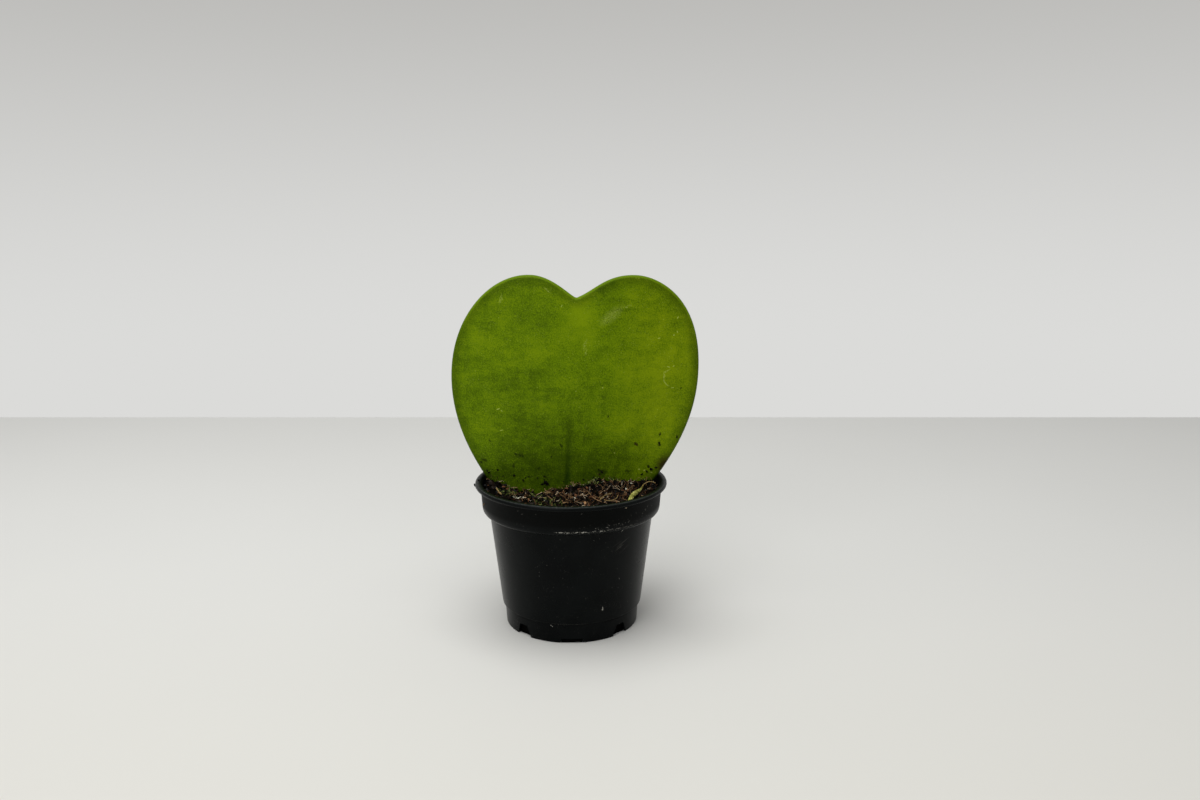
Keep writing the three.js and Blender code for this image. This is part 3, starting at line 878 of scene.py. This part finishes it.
class LeafSkin(Finish):
    """Thick waxy skin, mottled yellow-green, with a faint midrib, scuffs and specks of dirt."""

    def __init__(self):
        super().__init__("hoya_skin", Specular_IOR_Level=0.035)
        self.at = self.moved(self.place(), LEAF_PLACE * MM, (-LEAF_LEAN, LEAF_TILT, 0), (MM, MM, MM))
        self.across, self.behind, self.up = (self.part(self.at, axis) for axis in range(3))
        self.flat = self.vector(self.across, 0, self.up)
        wobble = self.grain(self.flat, 0.7, 3, 0.7) * 2.6 - 1.3
        self.ragged = self.vector(self.across + wobble, 0, self.up - wobble)
        self.front = (self.behind - self.across * self.across / (2 * LEAF_BOW)).fall(-0.4, 0.4)
        drawn_out = self.vector(self.across * 0.6, self.behind, self.up * 1.3)
        self.blotch = self.grain(drawn_out, 0.34, 4, 0.62, 0.2)
        self.pores = self.grain(self.at, 2.5, 4, 0.8)
        pale, soiled = self.pale_marks(), self.dirt()
        green = self.backed(self.edged(self.mottled()))
        green = self.blend(pale, green, tint(196, 208, 98))
        green = self.stained(self.blend(soiled, green, tint(12, 16, 4)))
        self.set(Base_Color=green, Roughness=self.blotch * 0.16 + 0.4 + (pale | soiled) * 0.25)
        self.dent(self.pores * 0.6 + self.blotch * 0.4 + pale * 0.3, 0.16 * MM, 0.6)

    def mottled(self):
        """The green: clouds, blotches, grain along the veins and pores, with broad light and dark forms, and
        painted shade towards the blade's foot.
        """
        from_stalk = self.up + 34
        fan = self.across.maths("ARCTAN2", self.across, from_stalk)
        far = (self.across * self.across + from_stalk ** 2) ** 0.5
        veins = self.grain(self.vector(fan * 17, self.behind, far * 0.14), 1, 3, 0.6)
        cloud = self.grain(self.at, 0.07, 2, 0.5, 0.3)
        # Painted shade: the blade darkens towards its foot near the mix, reaching higher at its middle
        painted_foot_shade = (self.up + abs(self.across + 1) * 0.32).fall(4, 30)
        tone = cloud * 0.16 + self.blotch * 0.19 + veins * 0.11 + self.pores * 0.54
        tone = tone + self.across.rise(8, 28) * 0.025 - painted_foot_shade * 0.11
        for weight, places in FORMS.items():
            tone = tone + self.marks(self.flat, places, 0.95) * weight
        green = self.ramp(tone, [
            (0.33, tint(46, 66, 1)), (0.42, tint(69, 92, 2)),
            (0.5, tint(93, 121, 3)), (0.6, tint(120, 144, 6)),
        ])
        # The right side has yellowed a little
        return self.blend(self.across.rise(6, 30) * self.front, green, (1.11, 1.03, 1.2, 1), "MULTIPLY")

    def edged(self, green):
        """Painted shade for a few millimetres in from the edge, where the blade turns away from the light, a
        painted highlight on its upper margin, and dark along the midrib.
        """
        rim = self.carried("rim")
        # Painted shade near the edge, where the rounded blade turns away from the light
        green = self.blend(rim.fall(0.5, 4.5) * 0.5, green, tint(44, 66, 2))
        # Painted highlight on the upper margin, where the edge faces the light from above
        green = self.blend(rim.fall(0.4, 1.0) * self.up.rise(46, 62) * 0.45, green, tint(118, 148, 20))
        rib = abs(self.across + 0.3).fall(0.2, 1.6) * self.up.fall(2, 27)
        return self.blend(rib * 0.62 * self.front, green, tint(26, 50, 3))

    def backed(self, green):
        """The back: a little paler, with a pale raised midrib, faint side veins and corky scars."""
        back = 1 - self.front
        sideways = abs(self.across)
        green = self.blend(back * 0.22, green, tint(112, 134, 34))
        spine = (sideways + self.up * 0.02).fall(0.3, 1.8) * self.up.fall(-4, 46)
        rows = abs(((self.up - sideways * 0.75) / 10.5).maths("FRACT") - 0.5)
        side_veins = rows.fall(0.01, 0.07) * sideways.fall(16, 34) * self.blotch.rise(0.35, 0.6)
        green = self.blend((spine * 0.5 | side_veins * 0.16) * back, green, tint(136, 154, 52))
        return self.blend(self.marks(self.ragged, CORKY_SCARS, 0.8) * back * 0.7, green, tint(112, 92, 44))

    def pale_marks(self):
        """Haze, scuffs, a curl and flecks on the front, and dust on both faces."""
        wisps = self.grain(self.flat, 2.6, 3, 0.75)
        haze = self.mark(self.ragged, *HAZE, soft=0.9) * wisps.rise(0.35, 0.7)
        scuffs = self.marks(self.ragged, SCUFFS, 0.8) * wisps.rise(0.44, 0.62)
        outside, inside = (self.mark(self.ragged, *edge, soft=0.2) for edge in CURL_EDGES)
        curl = (outside - inside).rise(0.3, 0.9) * self.across.fall(31, 33.5) * wisps.rise(0.34, 0.52)
        flecks = self.marks(self.flat, FLECKS)
        dust = self.specks(self.flat, 0.8, 0.15) * self.grain(self.flat, 0.13, 2, 0.5).rise(0.48, 0.66)
        fine_dust = self.specks(self.flat, 1.7, 0.24) * self.grain(self.flat, 0.3, 2, 0.5).rise(0.36, 0.66)
        in_front = (haze * 0.36 | scuffs * 0.44 | curl * 0.32 | flecks * 0.5) * self.front
        return in_front | dust * 0.3 | fine_dust * 0.2

    def dirt(self):
        """Black spots, and smudges and smears near the mix."""
        spots = self.marks(self.ragged, BLACK_SPOTS, 0.7)
        smudges = self.marks(self.ragged, SMUDGES, 0.9)
        smears = self.grain(self.flat, 0.8, 4, 0.75).rise(0.55, 0.7) * self.up.fall(0, 12)
        return (spots * 0.9 | smudges * 0.72) * self.front | smears * 0.6

    def stained(self, green):
        """A brown fleck, and the brown stain at the right edge."""
        brown = self.mark(self.ragged, *BROWN_FLECK) | self.mark(self.ragged, *BROWN_STAIN, soft=0.8)
        return self.blend(brown * self.front * 0.85, green, tint(40, 20, 9))


# Pale ticks on the pot, round its wall and up from the table, like the marks on the leaf
WALL_RADIUS = 25
POT_TICKS = [
    (11.3, 11.6, 0.5, 1.8, 5), (-6.4, 5.6, 0.9, 0.25, 60), (-6.8, 5.8, 1.0, 0.25, -50),
    (23.5, 43.5, 0.9, 0.6, 30), (-14, 45.5, 0.8, 0.2, 20), (-8.5, 45.4, 0.45, 0.4), (17, 21, 0.4, 0.4),
    (22.2, 42.5, 0.5, 0.5), (24.6, 44.4, 0.4, 0.7), (-12.6, 44.8, 0.9, 0.2, 20), (16.4, 37.6, 0.5, 0.4),
    (3.2, 45.8, 0.35, 0.25),
]
SCRATCHED = (16.6, 32.6, 9, 6, 28)


def pot_dust_and_step_highlight(plastic, wall, turn, z, wobble, broken):
    """Dust in broken dashes at the collar, dust and a painted highlight in broken dashes at the step, powder,
    specks and motes, ticks and scratches.
    """
    ragged = plastic.vector(turn * WALL_RADIUS + wobble * 1.4, 0, z + wobble * 1.4)
    at_collar = (z + wobble * 1.2).band(39.5, 39.95, 0.12) * broken.rise(0.52, 0.58)
    at_collar = at_collar * (turn.band(-0.12, 0.42, 0.05) | turn.band(0.4, 0.85, 0.08) * 0.4)
    # Dust and a painted highlight in dashes along the step's edge, at the front
    step_dust_and_highlight = (z + wobble * 0.2).band(6.62, 6.9, 0.08) * broken.rise(0.45, 0.53)
    step_dust_and_highlight = step_dust_and_highlight * turn.band(-0.25, 0.22, 0.08)
    powder = plastic.specks(ragged, 1.9, 0.4) * plastic.grain(wall, 1.0, 2, 0.6).rise(0.54, 0.62)
    powder = powder * (z - turn * 3).band(38.4, 41, 1.4) * turn.band(0.2, 1.2, 0.3)
    specks = plastic.specks(wall, 0.8, 0.12) * plastic.grain(wall, 0.16, 2, 0.5).rise(0.5, 0.62)
    motes = plastic.specks(wall, 2.0, 0.16) * plastic.grain(wall, 0.22, 2, 0.5).rise(0.46, 0.64)
    ticks = plastic.marks(ragged, POT_TICKS)
    slanted = plastic.moved(wall, (0, 0, 0), (0, math.radians(-28), 0), (7, 1, 0.22))
    streaks = plastic.grain(slanted, 1, 2, 0.6).rise(0.55, 0.66)
    scratches = plastic.mark(wall, *SCRATCHED, soft=0.9) * streaks
    plain = at_collar * 0.8 | powder * 0.7 | step_dust_and_highlight * 0.6 | ticks * 0.6
    return plain | specks * 0.16 | motes * 0.12 | scratches * 0.14


def pot_finish():
    """Moulded black plastic, satin, with dust in its corners and a few scuffs, painted shade on the lip's
    inner slope and under the step, and a painted highlight along the lip.
    """
    plastic = Finish("black_pot_plastic", Specular_IOR_Level=0.06)
    at = plastic.moved(plastic.place(), (AXIS_X, 0, 0), (0, 0, 0), (MM, MM, MM))
    x, y, z = (plastic.part(at, axis) for axis in range(3))
    radius = (x * x + y * y) ** 0.5
    # The wall unrolled: round it from the front, and up
    turn = x.maths("ARCTAN2", x, y * -1)
    wall = plastic.vector(turn * WALL_RADIUS, 0, z)
    wobble = plastic.grain(wall, 0.8, 3, 0.7) - 0.5
    broken = plastic.grain(plastic.vector(turn * WALL_RADIUS, 0, z * 1.6), 1.5, 4, 0.8)
    cloud = plastic.grain(at, 0.09, 3, 0.6)
    fine = plastic.grain(at, 2.8, 3, 0.7)
    black = plastic.blend(cloud.rise(0.3, 0.7), tint(3, 5, 5), tint(8, 11, 11))
    # Dust and marks, with the painted highlight at the step among them
    dust = pot_dust_and_step_highlight(plastic, wall, turn, z, wobble, broken)
    black = plastic.blend(dust, black, tint(190, 188, 178))
    # The lip is paler along its top: a painted highlight on its outer crest, over a little wear. Its inner
    # slope and the corner under the step are dark with painted shade, and rough
    inside = radius.fall(LIP_RADIUS - 2, LIP_RADIUS - 0.9) * z.rise(40, 42)
    # Painted shade in the corner under the step, at the sides
    corner = (z + wobble * 0.4).band(6.1, 6.9, 0.25) * abs(turn).rise(0.35, 0.7)
    crest = radius.band(LIP_RADIUS - 0.7, LIP_RADIUS - 0.25, 0.12)
    # Painted highlight along the lip's outer crest, over a little wear
    lip_wear_and_highlight = z.rise(POT_TOP - 0.7, POT_TOP - 0.3) * (1 - inside) * broken.rise(0.3, 0.6)
    black = plastic.blend(lip_wear_and_highlight * (crest * 0.06 + 0.012), black, tint(180, 186, 180))
    # Painted shade: nearly black on the lip's inner slope and under the step, and rougher there
    painted_shade_mask = inside * 0.8 | corner * 0.9
    black = plastic.blend(painted_shade_mask, black, tint(1, 2, 1))
    plastic.set(Base_Color=black, Roughness=cloud * 0.12 + 0.22 + dust * 0.3 + painted_shade_mask * 0.4)
    plastic.dent(fine * 0.4 + cloud * 0.6, 0.05 * MM, 0.3)
    return plastic


def mix_finish(name, stops, rough, shine=0.06):
    """Bits of the mix: each has its own tone, broken up by a fine grain."""
    bits = Finish(name, Specular_IOR_Level=shine)
    fine = bits.grain(bits.place(), 900, 3, 0.65)
    shade = bits.carried("tone") * 0.8 + fine * 0.4 - 0.1
    bits.set(Base_Color=bits.ramp(shade, stops), Roughness=fine * 0.2 + (rough - 0.15))
    bits.dent(fine, 0.1 * MM, 0.6)
    return bits


def soil_finish():
    """Dark moist mix, nearly black in its hollows with painted shade, and darkened nearly to black with
    painted shade low in the pot, in the drain slots.
    """
    mix = Finish("potting_mix", Specular_IOR_Level=0.03)
    at = mix.place()
    lumps = mix.grain(at, 420, 4, 0.7)
    grit = mix.grain(at, 1700, 3, 0.7)
    # Painted shade: the colour darkens with the same lumps that dent the surface, nearly black in the hollows
    colour = mix.ramp(lumps * 0.6 + grit * 0.4, [
        (0.38, tint(2, 2, 1)), (0.54, tint(9, 7, 5)), (0.68, tint(34, 24, 16)),
    ])
    # Painted shade: the mix in the drain slots, low in the pot, is darkened nearly to black
    colour = mix.blend(mix.part(at, 2).fall(6 * MM, 9 * MM), colour, tint(3, 3, 2))
    mix.set(Base_Color=colour, Roughness=grit * 0.2 + 0.75)
    mix.dent(lumps * 0.5 + grit * 0.5, 0.35 * MM, 0.9)
    return mix


def sprig_finish():
    """Dry plant skin, yellow-green, browned in streaks and towards its thin end."""
    husk = Finish("dry_sprig_skin", Specular_IOR_Level=0.15)
    at = husk.place()
    streaks = husk.grain(at, 900, 4, 0.7)
    colour = husk.ramp(streaks, [
        (0.36, tint(60, 62, 18)), (0.47, tint(134, 134, 56)),
        (0.57, tint(190, 186, 102)), (0.66, tint(244, 236, 180)),
    ])
    tan = husk.ramp(streaks, [(0.35, tint(110, 80, 36)), (0.65, tint(196, 166, 104))])
    colour = husk.blend(husk.part(at, 1).rise(-6 * MM, -2.5 * MM), colour, tan)
    husk.set(Base_Color=colour, Roughness=streaks * 0.2 + 0.6)
    husk.dent(streaks, 0.15 * MM, 0.7)
    return husk


# What the bits of the mix look like, from their darkest to their palest
BLACK = [(0.1, tint(2, 1, 1)), (0.6, tint(11, 8, 6)), (0.95, tint(38, 27, 19))]
BARK = [
    (0.05, tint(12, 8, 6)), (0.45, tint(52, 34, 23)), (0.8, tint(116, 78, 52)), (1, tint(184, 144, 104)),
]
COIR = [
    (0.1, tint(46, 28, 18)), (0.45, tint(98, 68, 44)),
    (0.75, tint(170, 136, 96)), (0.95, tint(250, 238, 208)),
]
STRAW = [(0.1, tint(150, 128, 84)), (0.9, tint(218, 202, 152))]
WHITE = [(0.1, tint(130, 128, 112)), (0.6, tint(196, 194, 172)), (1, tint(240, 238, 220))]
MOSS = [(0.1, tint(22, 29, 8)), (0.5, tint(64, 76, 31)), (0.9, tint(138, 148, 82))]


def dress_mix():
    """Chips, crumbs, fibres, moss and grains over the mix, each kind one piece."""
    flakes = chip_shapes(6, 11, 0.35)
    crumbs = chip_shapes(6, 31, 0.6)
    threads = thread_shapes(7, 5, 4.5, 0.8, 0.08)
    wisps = thread_shapes(6, 9, 2.4, 1.2, 0.06)
    tufts = thread_shapes(5, 21, 1.3, 2.0, 0.12)
    big_chip = (flakes[1], on_mix(4.9, -19.2, 0.5) @ any_pose(random.Random(4), 2.6, 0.3), 1.0)
    bark_bits = [big_chip, *strewn(flakes, 680, 2, (0.5, 2.3), 1.0, crowd=2.6, clear=0.4)]
    coir_bits = strewn(wisps, 900, 4, (0.4, 1.3), 1.3, lift=0.5, clear=0.3, within=fibrous)
    moss_bits = strewn(tufts, 760, 6, (0.4, 1.3), 1.5, lift=0.8, clear=0.3, within=mossy)
    kinds = [
        ("dark_crumbs", strewn(crumbs, 1400, 1, (0.5, 2.4), 1.3, clear=0.2), BLACK, 0.45, 0.09),
        ("bark_chips", bark_bits, BARK, 0.7, 0.06),
        ("coir_fibres", strewn(threads, 300, 3, (0.5, 1.4), 0.9, lift=0.3, within=fibrous), COIR, 0.8),
        ("coir_wisps", coir_bits, COIR, 0.8),
        ("moss_tufts", moss_bits, MOSS, 0.9),
        ("white_grains", strewn(crumbs, 90, 5, (0.2, 0.7), 1.5, lift=0.6, crowd=2), WHITE, 0.9),
        ("pale_grains", placed_grains(crumbs), WHITE, 0.9),
        ("leaf_crumbs", crumbs_on_leaf(crumbs), BLACK, 0.85),
        ("leaf_fibres", fibres_on_leaf(wisps), COIR, 0.8),
    ]
    for name, bits, *looks in kinds:
        finished(pile(name, bits), mix_finish(name, *looks), "potting_mix")
    finished(loose_straws(), mix_finish("straw", STRAW, 0.7), "potting_mix")


def mossy(x, y):
    """Where moss grows on the mix: in patches in front of the leaf and in drifts behind it."""
    for patch_x, patch_y, reach in MOSS_PATCHES:
        if math.hypot(x - patch_x, y - patch_y) < reach * (1 + 0.9 * noise.noise(Vector((x, y, 4)) / 1.5)):
            return True
    return y > 4 and noise.noise(Vector((x, y, 7)) / 6) > 0.25


def fibrous(x, y):
    """Where coir lies over the mix: more of it to the right, in uneven drifts."""
    return noise.noise(Vector((x, y, 2)) / 4) + x / 60 > -0.1


def placed_grains(shapes):
    """The pale grains that catch the eye, each where it lies, with its size."""
    draw = random.Random(8)
    places = [
        (-18, -13.8, 1.0), (-17.2, -14.3, 0.7), (-16.6, -13.7, 0.9), (-15, -14.4, 0.8), (-15.8, -15.0, 0.6),
        (20, -1.6, 0.9), (18.1, -5.6, 0.7), (-8.6, -2.1, 0.8), (12.6, -17.4, 0.7), (1.4, -14.6, 0.6),
    ]
    for x, y, size in places:
        yield draw.choice(shapes), on_mix(x, y, 0.9) @ any_pose(draw, size, 1.2), draw.random()


def loose_straws():
    """The few long fibres and slivers that catch the eye, each where it lies."""
    paths = [
        ([(-24.6, -2.9), (-23.6, -6.5), (-22.4, -10.0)], 0.26),
        ([(-28.4, 3.2), (-28.2, 5.4), (-27.2, 7.6), (-27.5, 9)], 0.16),
        ([(9.6, -16.6), (10.4, -14.6), (11.5, -12.3), (13.5, -10.6)], 0.14),
        ([(9.4, -13.3), (10.6, -16.6), (13.1, -18.7), (15.4, -15.3), (15.2, -12)], 0.13),
        ([(23.9, -2.8), (25.2, -0.9), (26.4, 0), (28, 0.4)], 0.17),
        ([(-9, -2.6), (-8.4, -5), (-6.6, -6.4)], 0.16),
    ]
    straws = []
    for path, radius in paths:
        points = [(x + AXIS_X / MM, y, soil_height(x, y) + 0.55) for x, y in path]
        straws.append(thread([points[0], *points, points[-1]], radius, 1))
    straws = join(straws, "loose_straws")
    smooth(straws, 60)
    return straws


def crumbs_on_leaf(shapes):
    """Dark crumbs that stick to the front of the leaf, and those that hang at the lip's left."""
    draw = random.Random(12)
    front = -LEAF_THICK[1] / 2
    # Across, up and size in millimetres
    places = [
        (-7.5, 0.4, 1.9), (-6.8, 0.0, 1.3), (27.6, 6.4, 1.8), (26.2, 5.6, 1.2), (29.2, 6.9, 1.1),
        (29.7, 15.4, 1.0), (29.9, 18.4, 0.8), (11.1, 5, 1.2), (24.6, 4.6, 1.4), (-29.5, 5.6, 0.9),
        (10.4, 4.2, 0.9),
    ]
    for _ in range(60):
        across = draw.uniform(-29, 29)
        up = draw.uniform(-1.5, 2.4) + 0.002 * across ** 2
        places.append((across, up, 0.25 + 0.9 * draw.random() ** 2))
    for across, up, size in places:
        pose = Matrix.Translation(on_leaf(across, up, front - 0.1 * size)) @ any_pose(draw, size, 1.2)
        yield draw.choice(shapes), pose, draw.random() * 0.5
    for x, y, z, size in [(-31.6, -3, 47.2, 1.4), (-31.2, -4.2, 46.6, 1.0), (-30.6, -2, 48.6, 0.9)]:
        pose = Matrix.Translation((x * MM + AXIS_X, y * MM, z * MM)) @ any_pose(draw, size, 1.2)
        yield draw.choice(shapes), pose, 0.1


def fibres_on_leaf(shapes):
    """Short fibres that lean against the leaf where it leaves the mix, in front and behind."""
    draw = random.Random(13)
    for side in (-1, 1):
        for _ in range(70):
            across = draw.uniform(-27, 27)
            place = on_leaf(across, 0, side * (LEAF_THICK[1] / 2 + 0.3))
            x, y = (place.x - AXIS_X) / MM, place.y / MM
            height = soil_height(x, y) + draw.uniform(-0.1, 1.0) - place.z / MM
            pose = Matrix.Translation(place + Vector((0, 0, height * MM)))
            yield draw.choice(shapes), pose @ any_pose(draw, draw.uniform(0.4, 1.1), 1.1), draw.random()


def make_stage():
    """A plain pale table, whose back edge stands where the picture's does."""
    size, back = 6, 0.306
    bpy.ops.mesh.primitive_plane_add(size=size, location=(0, back - size / 2, 0))
    table = settle(bpy.context.object, "table")
    paint = Finish("pale_table", Roughness=0.6, Specular_IOR_Level=0.3)
    at = paint.place()
    cloud = paint.grain(at, 3, 3, 0.5)
    near = paint.part(at, 1).fall(-0.2, 0.1)
    pale = paint.blend(cloud, tint(218, 218, 214), tint(226, 226, 222))
    paint.set(Base_Color=paint.blend(near, pale, (0.95, 0.935, 0.9, 1), "MULTIPLY"))
    table.data.materials.append(paint.material)


def soft_light(name, place, size, power):
    """A square soft light that looks at the plant."""
    bpy.ops.object.light_add(type="AREA", location=place)
    lamp = bpy.context.object
    lamp.name = name
    lamp.data.size = size
    lamp.data.energy = power
    leaf_foot = Vector((0, 0, 0.06))
    lamp.rotation_euler = (leaf_foot - Vector(place)).to_track_quat("-Z", "Y").to_euler()


def make_studio():
    """A dim room with a bright wall behind the plant, a softbox above and one at the front left."""
    room = Surroundings("bright_wall")
    looking = room.node("ShaderNodeTexCoord", output="Generated")
    ahead = room.part(looking, 1).rise(0.2, 0.75)
    height = room.part(looking, 2).rise(-0.15, 0.3)
    wall = room.blend(height, tint(219, 219, 217), tint(178, 177, 174))
    room.set(Color=room.blend(ahead, tint(142, 142, 143), wall))
    bpy.context.scene.world = room.world
    soft_light("ceiling_softbox", place=(-0.12, -0.12, 0.8), size=0.8, power=6.0)
    soft_light("front_softbox", place=(-0.45, -0.9, 0.45), size=0.6, power=2.2)


def make_camera():
    """The photograph's own view, found from the pot's rings."""
    bpy.ops.object.camera_add(location=(AXIS_X + 9.59 * MM, -336.53 * MM, 145.9 * MM))
    camera = bpy.context.object
    camera.rotation_euler = (math.radians(78.15), 0, 0)
    camera.data.lens = 31.5
    camera.data.sensor_width = 36
    bpy.context.scene.camera = camera
    bpy.context.scene.view_settings.view_transform = "Standard"


make_camera()
make_studio()
make_stage()
finished(make_pot(), pot_finish(), "pot_plastic", "pot")
finished(make_soil(), soil_finish(), "potting_mix", "soil")
dress_mix()
leaf_skin = LeafSkin()
finished(make_leaf(), leaf_skin, "leaf_skin", "leaf")
finished(make_stalk(), leaf_skin, "leaf_skin")
finished(make_sprig(), sprig_finish(), "dry_sprig", "sprig")
